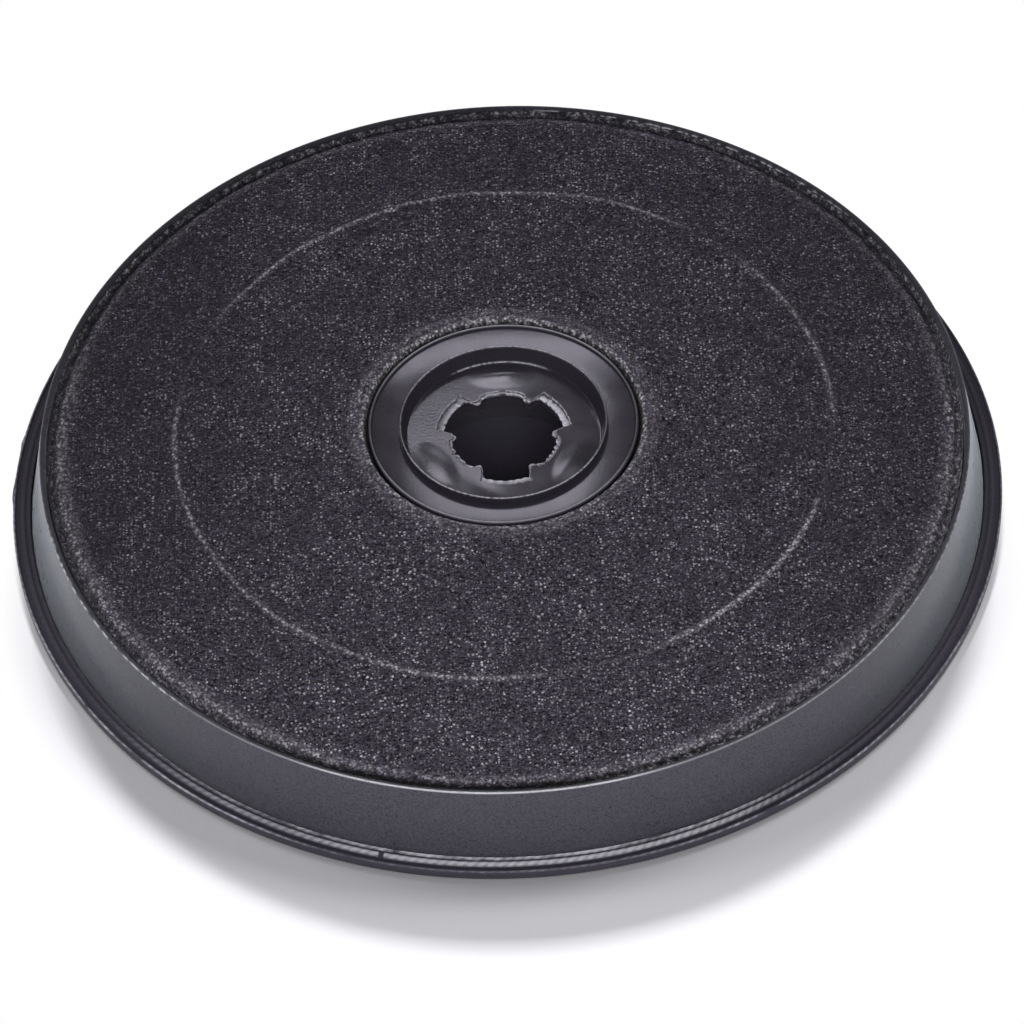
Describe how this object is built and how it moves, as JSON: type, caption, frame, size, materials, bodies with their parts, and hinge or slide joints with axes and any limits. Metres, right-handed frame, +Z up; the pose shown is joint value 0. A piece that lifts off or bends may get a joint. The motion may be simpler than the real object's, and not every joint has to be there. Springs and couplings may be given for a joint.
{
  "type": "cooker hood carbon filter",
  "caption": "Round activated carbon filter for a cooker hood: black drafted casing, felt top with a creased ring, and a bayonet hub in the middle.",
  "frame": {"origin": "middle of the underside, on the surface that the filter lies on", "axes": "+Z up through the hub towards the felt side; one lobe of the bayonet hole points along -Y"},
  "size_m": [0.233, 0.233, 0.0239],
  "materials": {
    "casing_plastic": "satin moulded black, fine even grain",
    "base_plastic": "satin moulded black",
    "hub_plastic": "glossy moulded black",
    "felt": "needled felt, black with pale fibres",
    "liner_felt": "thin needled felt, black",
    "carbon": "black granules"
  },
  "bodies": {
    "root": {"casing": "casing_plastic", "base_grille": "base_plastic", "hub_socket": "hub_plastic", "fleece_cover": "felt", "liner_inner": "liner_felt", "liner_outer": "liner_felt", "carbon_bed_inner": "carbon", "carbon_bed_outer": "carbon"}
  },
  "joints": []
}
